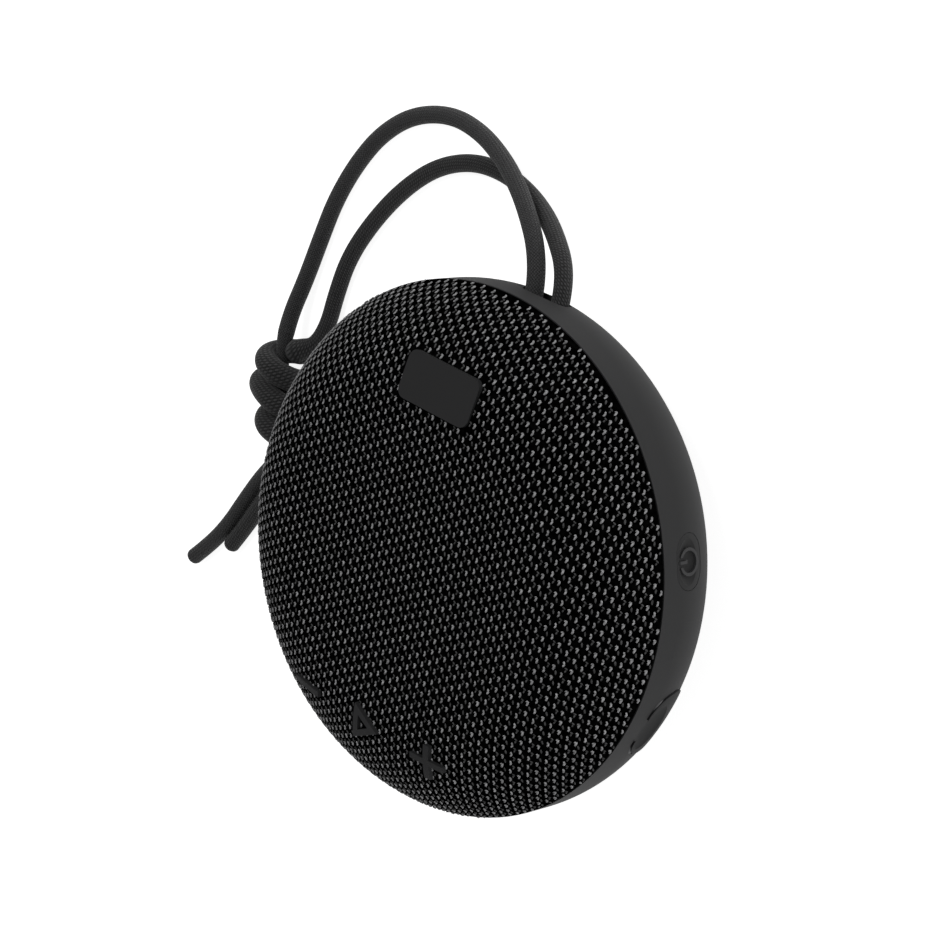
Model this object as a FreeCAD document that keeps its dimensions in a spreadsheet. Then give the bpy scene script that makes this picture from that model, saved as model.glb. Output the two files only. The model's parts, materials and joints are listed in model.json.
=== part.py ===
import FreeCAD, Part

import math
import os

import Sketcher

# A round, flat-backed wireless speaker with a fabric front and a carrying cord.
# Frame: the origin is the centre of the flat back where it rests, +Z goes out through the fabric dome,
# +Y goes to the cord slot and +X to the side of the power key. Millimetres.

V = FreeCAD.Vector
doc = FreeCAD.newDocument("shower_speaker")
sheet = doc.addObject("Spreadsheet::Sheet", "sizes")


# ---------------------------------------------------------------- sizes that carry their own sheet expression
class Size:
    """A number together with the sheet expression that gives it."""

    def __init__(self, value, text):
        self.value = float(value)
        self.text = text

    def __add__(self, other):
        other = as_size(other)
        return Size(self.value + other.value, f"({self.text} + {other.text})")

    def __sub__(self, other):
        other = as_size(other)
        return Size(self.value - other.value, f"({self.text} - {other.text})")

    def __mul__(self, other):
        other = as_size(other)
        return Size(self.value * other.value, f"({self.text} * {other.text})")

    def __truediv__(self, other):
        other = as_size(other)
        return Size(self.value / other.value, f"({self.text} / {other.text})")

    def __neg__(self):
        return Size(-self.value, f"(0 - {self.text})")

    def __radd__(self, other):
        return as_size(other) + self

    def __rsub__(self, other):
        return as_size(other) - self

    def __rmul__(self, other):
        return as_size(other) * self


def as_size(item):
    """The item itself, or a plain number made into a Size."""
    if isinstance(item, Size):
        return item
    return Size(item, repr(float(item)))


def root(item):
    """Square root of a Size."""
    return Size(math.sqrt(item.value), f"sqrt({item.text})")


DRIVING = {
    # outer shape
    "disc_radius": 57.5,        # the rim at its widest
    "edge_level": 29.0,         # where the fabric meets the rim, above the floor
    "band_depth": 6.3,          # straight part of the rim under the fabric edge
    "limb_inset": 7.0,          # a point half way round the rim's curve, in from the widest radius
    "limb_drop": 22.5,          # the same point, below the fabric edge
    "back_inset": 15.4,         # edge of the flat back, in from the widest radius
    "band_curve": 22.2,         # radius of the upper rim curve
    "back_curve": 55.4,         # radius of the lower rim curve
    "wall": 2.6,
    "lip_gap": 0.4,             # seam under the fabric edge
    # dome
    "shoulder_run": 24.8,       # from the shoulder's centre out to the fabric edge
    "shoulder_rise": 10.7,      # from the shoulder's centre up to the fabric edge
    "fabric_thick": 0.8,
    "fabric_gap": 0.05,
    "grille_thick": 1.4,
    "skirt_radius": 55.1,
    "skirt_wall": 2.2,
    # foot and back
    "foot_proud": 0.8,
    "foot_seat": 1.0,
    "foot_inner": 31.0,
    "foot_outer": 40.0,
    "seat_gap": 0.1,
    # baffle and screws
    "baffle_level": 26.0,
    "baffle_thick": 2.0,
    "post_ring": 36.0,
    "boss_radius": 3.1,
    "boss_foot": 5.2,
    "screw_radius": 1.25,
    "head_radius": 2.5,
    "head_tall": 1.5,
    "screw_long": 10.0,
    "seal_width": 1.4,
    "seal_tall": 1.0,
    # driver
    "cutout_radius": 24.6,
    "flange_radius": 29.5,
    "basket_wall": 1.0,
    "magnet_radius": 15.0,
    "magnet_level": 7.5,
    "magnet_tall": 5.0,
    "plate_tall": 2.0,
    "coil_radius": 6.5,
    "coil_gap": 0.4,
    "cone_radius": 19.0,
    "cone_level": 26.5,
    "cone_foot": 19.5,
    "surround_radius": 23.6,
    "screw_ring": 27.2,
    # badge
    "badge_wide": 20.4,
    "badge_deep": 10.6,
    "badge_corner": 2.2,
    "badge_place": 37.9,
    "badge_thick": 1.5,
    "badge_lean": 10.0,
    # keys on the front
    "key_row": 38.5,
    "key_pitch": 18.7,
    "key_radius": 5.2,
    "key_gap": 0.3,
    "symbol_proud": 1.0,
    "symbol_stroke": 1.4,
    "symbol_span": 8.4,
    "play_reach": 4.9,
    "play_hole": 2.1,
    "key_board_level": 34.5,
    "board_thick": 1.2,
    "switch_tall": 1.5,
    "key_travel": 0.6,
    # power key
    "power_angle": 20.0,
    "power_level": 20.3,
    "power_wide": 11.6,
    "power_tall": 8.6,
    "power_travel": 0.8,
    "power_deep": 7.2,
    "icon_outer": 2.9,
    "icon_inner": 2.25,
    "icon_bar": 0.65,
    "icon_gap": 2.0,
    "icon_tall": 1.85,
    # port cover
    "port_angle": -17.5,
    "port_level": 17.3,
    "port_wide": 16.5,
    "port_tall": 12.0,
    "port_corner": 5.4,
    "cover_thick": 1.3,
    "cover_inset": -0.3,
    "mouth_wide": 9.6,
    "mouth_tall": 3.9,
    "socket_wide": 8.9,
    "socket_tall": 3.2,
    "socket_long": 7.5,
    "socket_back": 11.2,
    # cord slot
    "slot_level": 17.5,
    "slot_wide": 12.5,
    "slot_tall": 5.6,
    "slot_deep": 11.6,
    "cup_wall": 1.4,
    "pin_radius": 1.5,
    "pin_place": 50.8,
    "cord_radius": 2.0,
    "cord_slack": 0.2,
    # battery and main board
    "cell_long": 40.0,
    "cell_deep": 18.0,
    "cell_tall": 8.0,
    "cell_place": 31.5,
    "cell_level": 6.6,
    "tray_wall": 1.2,
    "board_wide": 40.0,
    "board_deep": 15.0,
    "board_place": 31.5,
    "board_level": 8.0,
    "main_board_thick": 1.6,
    "post_apart": 14.0,
    "post_back": 5.0,
}


class Sizes:
    """The driving sizes by name."""


S = Sizes()
for row, (alias, number) in enumerate(DRIVING.items(), start=1):
    sheet.set(f"A{row}", alias)
    sheet.set(f"B{row}", str(number))
    sheet.setAlias(f"B{row}", alias)
    setattr(S, alias, Size(number, f"sizes.{alias}"))
doc.recompute()

BACK = S.foot_proud                                   # level of the shell's flat back
SHOULDER_AT = S.disc_radius - S.shoulder_run          # the shoulder's centre, out from the axis
SHOULDER_LOW = S.edge_level - S.shoulder_rise         # and its level
SHOULDER = root(S.shoulder_run * S.shoulder_run + S.shoulder_rise * S.shoulder_rise)
FABRIC_IN = S.fabric_thick + S.fabric_gap             # from the outer surface to the grille
BAFFLE_TOP = S.baffle_level + S.baffle_thick
nodes = []


# ---------------------------------------------------------------- helpers
def bind(obj, prop, size):
    """Set a property by its sheet expression."""
    obj.setExpression(prop, as_size(size).text)


def place(obj, x=0, y=0, z=0, turn=None, axis=(0, 0, 1)):
    """Put an object at a bound place, turned about an axis by a bound angle."""
    if turn is not None:
        obj.Placement = FreeCAD.Placement(V(0, 0, 0), FreeCAD.Rotation(V(*axis), as_size(turn).value or 1))
        bind(obj, ".Placement.Rotation.Angle", turn)
    for letter, size in zip("xyz", (x, y, z)):
        bind(obj, f".Placement.Base.{letter}", size)
    return obj


def node(obj, label):
    """Name a finished sub-part."""
    obj.Label = label
    nodes.append(obj)
    return obj


def cylinder(name, radius, tall, x=0, y=0, z=0):
    obj = doc.addObject("Part::Cylinder", name)
    bind(obj, "Radius", radius)
    bind(obj, "Height", tall)
    return place(obj, x, y, z)


def box(name, wide, deep, tall, x=0, y=0, z=0):
    """Box centred on x and y that stands on z."""
    obj = doc.addObject("Part::Box", name)
    bind(obj, "Length", wide)
    bind(obj, "Width", deep)
    bind(obj, "Height", tall)
    return place(obj, as_size(x) - as_size(wide) / 2, as_size(y) - as_size(deep) / 2, z)


def cut(name, base, tool):
    obj = doc.addObject("Part::Cut", name)
    obj.Base = base
    obj.Tool = tool
    return obj


def common(name, one, two):
    obj = doc.addObject("Part::Common", name)
    obj.Base = one
    obj.Tool = two
    return obj


def fuse(name, shapes):
    obj = doc.addObject("Part::MultiFuse", name)
    obj.Shapes = shapes
    return obj


def gather(name, shapes):
    """Several separate solids of one kind, kept as one node."""
    obj = doc.addObject("Part::Compound", name)
    obj.Links = shapes
    return obj


def ring(name, outer, inner, low, high):
    """Flat ring about the main axis."""
    low = as_size(low)
    tall = as_size(high) - low
    disc = cylinder(name + "_disc", outer, tall, z=low)
    hole = cylinder(name + "_hole", inner, tall + 2, z=low - 1)
    return cut(name, disc, hole)


def origin_plane(body, role):
    return next(item for item in body.Origin.OriginFeatures if item.Role == role)


def arc_centre(p, q, radius):
    """Centre of the arc from p to q; a positive radius turns left on the way."""
    middle = (p + q) * 0.5
    half = (q - p) * 0.5
    left = V(-half.y, half.x, 0)
    rise = math.sqrt(max(radius * radius - half.Length ** 2, 0)) / half.Length
    return middle + left * (rise if radius > 0 else -rise)


def side_geometry(sketch, p, q, radius):
    """Add one side to a sketch; returns its number and its first and last point ids."""
    if radius is None:
        return sketch.addGeometry(Part.LineSegment(p, q), False), 1, 2
    centre = arc_centre(p, q, radius)
    first, last = (p, q) if radius > 0 else (q, p)
    start = math.atan2(first.y - centre.y, first.x - centre.x)
    stop = math.atan2(last.y - centre.y, last.x - centre.x)
    if stop < start:
        stop += 2 * math.pi
    circle = Part.Circle(centre, V(0, 0, 1), abs(radius))
    number = sketch.addGeometry(Part.ArcOfCircle(circle, start, stop), False)
    return (number, 1, 2) if radius > 0 else (number, 2, 1)


def outline(body, name, role, corners, arcs=None):
    """Closed sketch through bound corners; arcs maps a side to (bound radius, +1 left or -1 right)."""
    arcs = arcs or {}
    sketch = body.newObject("Sketcher::SketchObject", name)
    sketch.AttachmentSupport = (origin_plane(body, role), [""])
    sketch.MapMode = "FlatFace"
    corners = [(as_size(a), as_size(b)) for a, b in corners]
    sides = []
    for index, (a, b) in enumerate(corners):
        c, d = corners[(index + 1) % len(corners)]
        radius = arcs[index][0].value * arcs[index][1] if index in arcs else None
        sides.append(side_geometry(sketch, V(a.value, b.value, 0), V(c.value, d.value, 0), radius))
    for index, (number, first, last) in enumerate(sides):
        following, its_first, _ = sides[(index + 1) % len(sides)]
        sketch.addConstraint(Sketcher.Constraint("Coincident", number, last, following, its_first))
    for index, (number, first, _) in enumerate(sides):
        for kind, size, axis in (("DistanceX", corners[index][0], -2), ("DistanceY", corners[index][1], -1)):
            if size.value == 0:
                sketch.addConstraint(Sketcher.Constraint("PointOnObject", number, first, axis))
                continue
            one = sketch.addConstraint(Sketcher.Constraint(kind, -1, 1, number, first, size.value))
            bind(sketch, f"Constraints[{one}]", size)
        if index in arcs:
            one = sketch.addConstraint(Sketcher.Constraint("Radius", number, arcs[index][0].value))
            bind(sketch, f"Constraints[{one}]", arcs[index][0])
    return sketch


def turned(name, corners, arcs=None):
    """Body turned about the main axis from an outline of (radius, level) corners."""
    body = doc.addObject("PartDesign::Body", name)
    sketch = outline(body, name + "_outline", "XZ_Plane", corners, arcs)
    turn = body.newObject("PartDesign::Revolution", name + "_turn")
    turn.Profile = sketch
    turn.ReferenceAxis = (sketch, ["V_Axis"])
    turn.Angle = 360
    return body


def padded(name, role, corners, length, arcs=None):
    """Body padded from an outline on one of the origin planes."""
    body = doc.addObject("PartDesign::Body", name)
    sketch = outline(body, name + "_outline", role, corners, arcs)
    pad = body.newObject("PartDesign::Pad", name + "_pad")
    pad.Profile = sketch
    bind(pad, "Length", length)
    return body


def rounded(name, role, wide, tall, corner, length):
    """Rounded rectangle about the origin, padded."""
    w, t = as_size(wide) / 2, as_size(tall) / 2
    c = as_size(corner)
    corners = [(-w + c, -t), (w - c, -t), (w, -t + c), (w, t - c),
               (w - c, t), (-w + c, t), (-w, t - c), (-w, -t + c)]
    return padded(name, role, corners, length, {side: (c, 1) for side in (1, 3, 5, 7)})


def pill(name, role, wide, tall, length):
    """Pill shape with round ends about the origin, padded."""
    w, t = as_size(wide) / 2, as_size(tall) / 2
    corners = [(-w + t, -t), (w - t, -t), (w, 0), (w - t, t), (-w + t, t), (-w, 0)]
    return padded(name, role, corners, length, {side: (t, 1) for side in (1, 2, 4, 5)})


def around(name, shape, angle):
    """The shape turned about the main axis, as a copy that can be cut with."""
    obj = doc.addObject("Part::Compound", name)
    obj.Links = [shape]
    return place(obj, turn=angle)


def rim_fill(name, inset):
    """Everything inside the rim's outer surface moved in by inset, up to the fabric edge."""
    inset = as_size(inset)
    wide = S.disc_radius - inset
    corners = [
        (0, BACK + inset),
        (S.disc_radius - S.back_inset - inset * 0.6, BACK + inset),
        (S.disc_radius - S.limb_inset - inset * 0.72, S.edge_level - S.limb_drop + inset * 0.7),
        (wide, S.edge_level - S.band_depth),
        (wide, S.edge_level - S.lip_gap),
        (0, S.edge_level - S.lip_gap),
    ]
    return turned(name, corners, {1: (S.back_curve - inset, 1), 2: (S.band_curve - inset, 1)})


def dome_fill(name, inset):
    """Everything under the dome's outer surface moved in by inset, down to just under its edge."""
    inset = as_size(inset)
    floor = S.edge_level - 2
    curve = SHOULDER - inset
    level = S.edge_level
    reach = SHOULDER_AT + root(curve * curve - S.shoulder_rise * S.shoulder_rise)
    corners = [(0, floor), (reach, floor), (reach, level), (SHOULDER_AT, SHOULDER_LOW + curve),
               (0, SHOULDER_LOW + curve)]
    return turned(name, corners, {2: (curve, 1)})


# ---------------------------------------------------------------- housing
def post_places():
    for quarter in range(4):
        angle = math.radians(45 + 90 * quarter)
        yield quarter, S.post_ring * math.cos(angle), S.post_ring * math.sin(angle)


def radial_prism(name, shape, angle, level):
    """A prism padded along +X, lifted to its level and turned to its place round the rim."""
    lifted = doc.addObject("Part::Compound", name + "_lifted")
    lifted.Links = [shape]
    place(lifted, z=level)
    return around(name, lifted, angle)


def dent(name, angle, level, deep, wide, tall):
    """Shallow oval hollow in the rim."""
    oval = doc.addObject("Part::Ellipsoid", name + "_oval")
    bind(oval, "Radius1", tall / 2)
    bind(oval, "Radius2", deep)
    bind(oval, "Radius3", wide / 2)
    oval.Angle1 = -90
    oval.Angle2 = 90
    oval.Angle3 = 360
    place(oval, x=S.disc_radius, z=level)
    return around(name, oval, angle)


def rear_shell():
    """Bowl with the rim, the back, the screw seats, and its openings for keys, port and cord."""
    tub = cut("shell_tub", rim_fill("shell_outer", 0), rim_cavity())
    seats = []
    holes = []
    for number, x, y in post_places():
        seats.append(cylinder(f"shell_seat_{number}", S.boss_radius + 0.6, S.boss_foot - BACK - S.wall / 2,
                              x, y, BACK + S.wall / 2))
        holes.append(cylinder(f"shell_hole_{number}", S.screw_radius + 0.2, S.boss_foot, x, y, BACK - 0.5))
        holes.append(cylinder(f"shell_head_{number}", S.head_radius + 0.15, S.head_tall + S.foot_seat + 0.1,
                              x, y, BACK))
    groove = ring("foot_groove", S.foot_outer + S.seat_gap, S.foot_inner - S.seat_gap, BACK - 1,
                  BACK + S.foot_seat)
    body = fuse("shell_body", [tub] + seats)
    tools = fuse("shell_tools", holes + [groove, power_opening(), port_pocket(), cord_opening()])
    return node(cut("rear_shell_cut", body, tools), "rear_shell")


def rim_cavity():
    """Inside of the bowl, open at the top."""
    inset = S.wall
    corners = [
        (0, BACK + inset),
        (S.disc_radius - S.back_inset - inset * 0.6, BACK + inset),
        (S.disc_radius - S.limb_inset - inset * 0.72, S.edge_level - S.limb_drop + inset * 0.7),
        (S.disc_radius - inset, S.edge_level - S.band_depth),
        (S.disc_radius - inset, S.baffle_level - 0.5),
        (S.skirt_radius + 0.2, S.baffle_level - 0.5),
        (S.skirt_radius + 0.2, S.edge_level + 1),
        (0, S.edge_level + 1),
    ]
    return turned("shell_cavity", corners, {1: (S.back_curve - inset, 1), 2: (S.band_curve - inset, 1)})


def power_opening():
    hole = pill("power_hole", "YZ_Plane", S.power_wide + 2 * S.seat_gap, S.power_tall + 2 * S.seat_gap,
                S.disc_radius + 5)
    return radial_prism("power_opening", hole, S.power_angle, S.power_level)


def port_pocket():
    """Recess under the cover, and the mouth of the charging socket at its bottom."""
    gap = S.key_gap
    tool = rounded("port_recess", "YZ_Plane", S.port_wide + 2 * gap, S.port_tall + 2 * gap,
                   S.port_corner + gap, S.disc_radius + 5)
    recess = cut("port_recess_skin", radial_prism("port_recess_at", tool, S.port_angle, S.port_level),
                 rim_fill("port_floor", S.cover_inset + S.cover_thick + 0.15))
    mouth = pill("port_mouth", "YZ_Plane", S.mouth_wide, S.mouth_tall, S.disc_radius + 5)
    return fuse("port_pocket", [recess, radial_prism("port_mouth_at", mouth, S.port_angle, S.port_level)])


def cord_opening():
    """Pill-shaped slot for the cord in a soft oval hollow."""
    slot = pill("slot_prism", "YZ_Plane", S.slot_wide, S.slot_tall, S.disc_radius + 5)
    scoop = dent("slot_scoop", 90, S.slot_level, 1.5, S.slot_wide + 6.5, S.slot_tall + 4.5)
    return fuse("cord_opening", [radial_prism("slot_at", slot, 90, S.slot_level), scoop])


def foot_ring():
    obj = ring("foot_ring_cut", S.foot_outer, S.foot_inner, 0, BACK + S.foot_seat)
    return node(obj, "foot_ring")


def baffle():
    """Inner plate that carries the driver; its bosses reach down to the screws."""
    rim = S.skirt_radius + 0.1
    corners = [
        (S.cutout_radius, S.baffle_level),
        (rim, S.baffle_level),
        (rim, S.baffle_level + 0.5),
        (rim - S.seal_width, S.baffle_level + 0.5),
        (rim - S.seal_width, S.baffle_level + 0.5 + S.seal_tall),
        (rim, S.baffle_level + 0.5 + S.seal_tall),
        (rim, BAFFLE_TOP),
        (S.cutout_radius, BAFFLE_TOP),
    ]
    plate = turned("baffle_plate", corners)
    bosses = []
    pilots = []
    for number, x, y in post_places():
        bosses.append(cylinder(f"boss_{number}", S.boss_radius, BAFFLE_TOP - S.boss_foot - 0.5, x, y, S.boss_foot))
        pilots.append(cylinder(f"pilot_{number}", S.screw_radius, S.screw_long, x, y, S.boss_foot - 1))
    for number, x, y in driver_screw_places():
        pilots.append(cylinder(f"driver_pilot_{number}", 1.0, S.baffle_thick + 1, x, y, S.baffle_level - 0.5))
    return node(cut("baffle_cut", fuse("baffle_body", [plate] + bosses), fuse("baffle_tools", pilots)), "baffle")


def housing_seal():
    rim = S.skirt_radius + 0.1
    low = S.baffle_level + 0.5
    return node(ring("seal_ring", rim + 0.08, rim - S.seal_width, low, low + S.seal_tall), "housing_seal")


def housing_screws():
    """Four screws from the back, their heads covered by the foot ring."""
    screws = []
    top = BACK + S.foot_seat + S.head_tall
    for number, x, y in post_places():
        head = cylinder(f"screw_head_{number}", S.head_radius, S.head_tall, x, y, top - S.head_tall)
        shank = cylinder(f"screw_shank_{number}", S.screw_radius, S.screw_long, x, y, top)
        driver = box(f"screw_slot_{number}", 3.4, 0.7, 1.4, x, y, top - S.head_tall - 0.7)
        screws.append(cut(f"screw_{number}", fuse(f"screw_body_{number}", [head, shank]), driver))
    return node(gather("screws", screws), "housing_screws")


# ---------------------------------------------------------------- dome
def grille():
    """Stiff perforated dome under the fabric, with a skirt that centres it in the shell."""
    curve = SHOULDER - FABRIC_IN
    inner = curve - S.grille_thick
    level = S.edge_level - 0.2
    down = S.shoulder_rise - 0.2
    reach = SHOULDER_AT + root(curve * curve - down * down)
    inside = S.skirt_radius - S.skirt_wall
    offset = inside - SHOULDER_AT
    corners = [
        (0, SHOULDER_LOW + inner),
        (SHOULDER_AT, SHOULDER_LOW + inner),
        (inside, SHOULDER_LOW + root(inner * inner - offset * offset)),
        (inside, BAFFLE_TOP),
        (S.skirt_radius, BAFFLE_TOP),
        (S.skirt_radius, level),
        (reach, level),
        (SHOULDER_AT, SHOULDER_LOW + curve),
        (0, SHOULDER_LOW + curve),
    ]
    shell = turned("grille_layer", corners, {1: (inner, -1), 6: (curve, 1)})
    for name, place_radius, count in (("near", 9.0, 6), ("middle", 18.0, 12), ("far", 27.0, 18)):
        hole_ring(shell, name, place_radius, count)
    tools = [cylinder(f"key_port_{number}", S.key_radius + S.key_gap, 40, x, -S.key_row, S.key_board_level)
             for number, x in enumerate(key_places())]
    tools.append(place(cylinder("badge_peg_hole", 1.6, 9, y=S.badge_place), y=S.badge_place,
                       z=S.edge_level + 9))
    return node(cut("grille_cut", shell, fuse("grille_tools", tools)), "grille_dome")


def hole_ring(body, name, place_radius, count):
    """One ring of sound holes cut down through the dome."""
    sketch = body.newObject("Sketcher::SketchObject", f"holes_{name}_outline")
    sketch.AttachmentSupport = (origin_plane(body, "XY_Plane"), [""])
    sketch.MapMode = "FlatFace"
    start = math.pi / count
    spot = V(place_radius * math.cos(start), place_radius * math.sin(start), 0)
    sketch.addGeometry(Part.Circle(spot, V(0, 0, 1), 2.0), False)
    sketch.addConstraint(Sketcher.Constraint("Radius", 0, 2.0))
    sketch.addConstraint(Sketcher.Constraint("DistanceX", -1, 1, 0, 3, spot.x))
    sketch.addConstraint(Sketcher.Constraint("DistanceY", -1, 1, 0, 3, spot.y))
    pocket = body.newObject("PartDesign::Pocket", f"holes_{name}")
    pocket.Profile = sketch
    pocket.Reversed = True
    pocket.Length = 80
    doc.recompute()
    pattern = body.newObject("PartDesign::PolarPattern", f"holes_{name}_round")
    pattern.Originals = [pocket]
    pattern.Axis = (sketch, ["N_Axis"])
    pattern.Angle = 360
    pattern.Occurrences = count
    body.Tip = pattern
    doc.recompute()


def fabric():
    """Woven cover, open where the key symbols come through."""
    end = (SHOULDER - S.fabric_thick) / SHOULDER
    corners = [
        (0, SHOULDER_LOW + SHOULDER - S.fabric_thick),
        (SHOULDER_AT, SHOULDER_LOW + SHOULDER - S.fabric_thick),
        (SHOULDER_AT + S.shoulder_run * end, SHOULDER_LOW + S.shoulder_rise * end),
        (S.disc_radius, S.edge_level),
        (SHOULDER_AT, SHOULDER_LOW + SHOULDER),
        (0, SHOULDER_LOW + SHOULDER),
    ]
    layer = turned("fabric_layer", corners, {1: (SHOULDER - S.fabric_thick, -1), 3: (SHOULDER, 1)})
    holes = [symbol(kind, f"fabric_{kind}", 0.25, x, S.key_board_level) for kind, x in zip(SYMBOLS, key_places())]
    recess = badge_prism("fabric_badge_hole", 0.15, 12, S.badge_lean)
    return node(cut("fabric_cut", layer, fuse("fabric_tools", holes + [recess])), "grille_fabric")


def badge_prism(name, grow, tall, lean):
    """Badge outline raised to a prism, leaned with the shoulder of the dome."""
    prism = rounded(name, "XY_Plane", S.badge_wide + 2 * grow, S.badge_deep + 2 * grow, S.badge_corner + grow, tall)
    level = S.edge_level + 15.25 + 0.7 - S.badge_thick
    return place(prism, y=S.badge_place, z=level, turn=lean, axis=(-1, 0, 0))


def badge():
    """Thin plate set into the fabric, with a peg down through the grille."""
    plate = badge_prism("badge_body", 0, S.badge_thick, S.badge_lean)
    over = dome_fill("badge_bed", FABRIC_IN)
    peg = cylinder("badge_peg", 1.5, 5, y=S.badge_place, z=S.edge_level + 10)
    shaped = cut("badge_shaped", plate, over)
    return node(fuse("badge_fused", [shaped, peg]), "badge_plate")


# ---------------------------------------------------------------- keys on the front
SYMBOLS = ("minus", "play", "plus")


def key_places():
    return (-S.key_pitch, as_size(0), S.key_pitch)


def symbol(kind, name, grow, x, low):
    """Upright prism of one key's symbol, grown all round by a clearance, that stands on low."""
    stroke = S.symbol_stroke + 2 * grow
    span = S.symbol_span + 2 * grow
    y = -S.key_row
    if kind == "minus":
        return box(name, span, stroke, 40, x, y, low)
    if kind == "plus":
        across = box(name + "_across", span, stroke, 40, x, y, low)
        along = box(name + "_along", stroke, span, 40, x, y, low)
        return fuse(name, [across, along])
    return play_symbol(name, grow, x, y, low)


def play_symbol(name, grow, x, y, low):
    """Outlined triangle that points to +X; as an opening, with a clearance, it is the whole triangle."""
    outer = triangle(name + "_outer", S.play_reach + 2 * grow, 40)
    if grow:
        return place(outer, x=x, y=y, z=low)
    inner = triangle(name + "_inner", S.play_hole, 42)
    return place(cut(name, outer, place(inner, z=-1)), x=x, y=y, z=low)


def triangle(name, reach, tall):
    """Triangle prism whose corners are reach from its middle."""
    reach = as_size(reach)
    side = reach * math.sin(math.radians(60))
    corners = [(reach, 0), (-reach / 2, side), (-reach / 2, -side)]
    return padded(name, "XY_Plane", corners, tall)


def front_key(kind, x):
    """Soft key: a disc that fills its port in the grille, a stem below and the raised symbol above."""
    y = -S.key_row
    low = S.key_board_level + S.board_thick + S.switch_tall + 0.02
    disc_low = S.edge_level + 8.2
    disc = common(f"{kind}_disc_shape", cylinder(f"{kind}_disc", S.key_radius, 12, x, y, disc_low),
                  dome_fill(f"{kind}_disc_top", FABRIC_IN))
    stem = cylinder(f"{kind}_stem", 1.6, disc_low + 0.5 - low, x, y, low)
    raised = common(f"{kind}_raised_shape", symbol(kind, f"{kind}_raised", 0, x, disc_low + 0.5),
                    dome_fill(f"{kind}_raised_top", -S.symbol_proud))
    return node(fuse(f"{kind}_key_fused", [disc, stem, raised]), f"{kind}_key")


def key_board():
    """Narrow board for the three front switches, on two arms from the grille's underside."""
    y = -S.key_row + 1.0
    board = box("key_board_box", 2 * S.key_pitch + 7, 9, S.board_thick, 0, y, S.key_board_level)
    return node(board, "key_board")


def key_carrier():
    """Bridge that holds the switch board on two posts from the baffle."""
    y = -S.key_row + 1.0
    top = S.key_board_level
    legs = [cylinder(f"carrier_leg_{side}", 1.8, top - BAFFLE_TOP - 0.5, side * S.key_pitch / 2, y, BAFFLE_TOP)
            for side in (-1, 1)]
    beam = box("carrier_beam", 2 * S.key_pitch + 4, 5, 1.2, 0, y, top - 1.2)
    return node(fuse("carrier_fused", legs + [beam]), "key_carrier")


def key_switches():
    """Three small tact switches under the front keys."""
    level = S.key_board_level + S.board_thick
    switches = []
    for number, x in enumerate(key_places()):
        case = box(f"switch_case_{number}", 4.5, 4.5, S.switch_tall - S.key_travel - 0.1, x, -S.key_row, level)
        switches.append(case)
    return node(gather("switches", switches), "key_switches")


# ---------------------------------------------------------------- rim fittings
def power_key():
    """Soft pill-shaped key in the rim, dished, with a raised power symbol."""
    prism = pill("power_prism", "YZ_Plane", S.power_wide, S.power_tall, S.disc_radius + 5)
    at = radial_prism("power_prism_at", prism, S.power_angle, S.power_level)
    solid = common("power_outer", at, rim_fill("power_fill", 0.05))
    core = cylinder("power_core", S.disc_radius - S.power_deep, 40)
    layer = cut("power_layer", solid, core)
    dish = dent("power_dish", S.power_angle, S.power_level, 0.9, S.power_wide - 1.2, S.power_tall - 1.0)
    return node(fuse("power_key_fused", [cut("power_dished", layer, dish), power_symbol()]), "power_key")


def power_symbol():
    """Open ring with a short bar in its gap, raised from the dish."""
    depth = S.disc_radius - 2.2
    out = cylinder("power_ring_out", S.icon_outer, S.icon_tall)
    hole = cylinder("power_ring_in", S.icon_inner, 4, z=-1)
    gap = box("power_ring_gap", 4, S.icon_gap, 4, -2.6, 0, -1)
    stroke = box("power_bar", 2.6, S.icon_bar, S.icon_tall, -2.0, 0, 0)
    opened = cut("power_ring_open", cut("power_ring", out, hole), gap)
    symbol_flat = fuse("power_symbol_flat", [opened, stroke])
    stood = doc.addObject("Part::Compound", "power_symbol_stood")
    stood.Links = [symbol_flat]
    place(stood, x=depth, z=S.power_level, turn=90, axis=(0, 1, 0))
    return around("power_symbol", stood, S.power_angle)


def power_switch():
    """Side switch and its small upright board behind the power key."""
    face = S.disc_radius - S.power_deep - S.power_travel - 0.2
    case = box("power_switch_case", 2.2, 5.0, 5.0, face - 1.1, 0, S.power_level - 2.5)
    board = box("power_switch_board", 1.2, 12.0, 9.0, face - 2.8, 0, S.power_level - 4.5)
    return node(around("power_switch_at", fuse("power_switch_fused", [case, board]), S.power_angle), "power_switch")


def port_cover():
    """Rubber flap that follows the rim over the charging socket, with a soft finger dish."""
    prism = rounded("cover_prism", "YZ_Plane", S.port_wide, S.port_tall, S.port_corner, S.disc_radius + 5)
    at = radial_prism("cover_prism_at", prism, S.port_angle, S.port_level)
    outer = common("cover_outer", at, rim_fill("cover_fill", S.cover_inset))
    layer = cut("cover_layer", outer, rim_fill("cover_under", S.cover_inset + S.cover_thick))
    dish = dent("cover_dish", S.port_angle, S.port_level + 2.5, 0.9, S.port_wide - 4, S.port_tall - 4)
    return node(cut("cover_dished", layer, dish), "port_cover")


def usb_port():
    """Metal charging socket behind the flap."""
    sheet_metal = 0.3
    back_wall = 0.8
    out = pill("usb_out", "YZ_Plane", S.socket_wide, S.socket_tall, S.socket_long)
    hole = pill("usb_in", "YZ_Plane", S.socket_wide - 2 * sheet_metal, S.socket_tall - 2 * sheet_metal,
                S.socket_long - back_wall)
    tongue = box("usb_tongue", 5.0, 6.2, 0.7, 3.0, 0, -0.35)
    shell = cut("usb_shell", out, place(hole, x=1))
    moved = doc.addObject("Part::Compound", "usb_moved")
    moved.Links = [fuse("usb_fused", [shell, tongue])]
    place(moved, x=S.disc_radius - S.socket_back, z=S.port_level)
    return node(around("usb_port_at", moved, S.port_angle), "usb_port")


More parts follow.
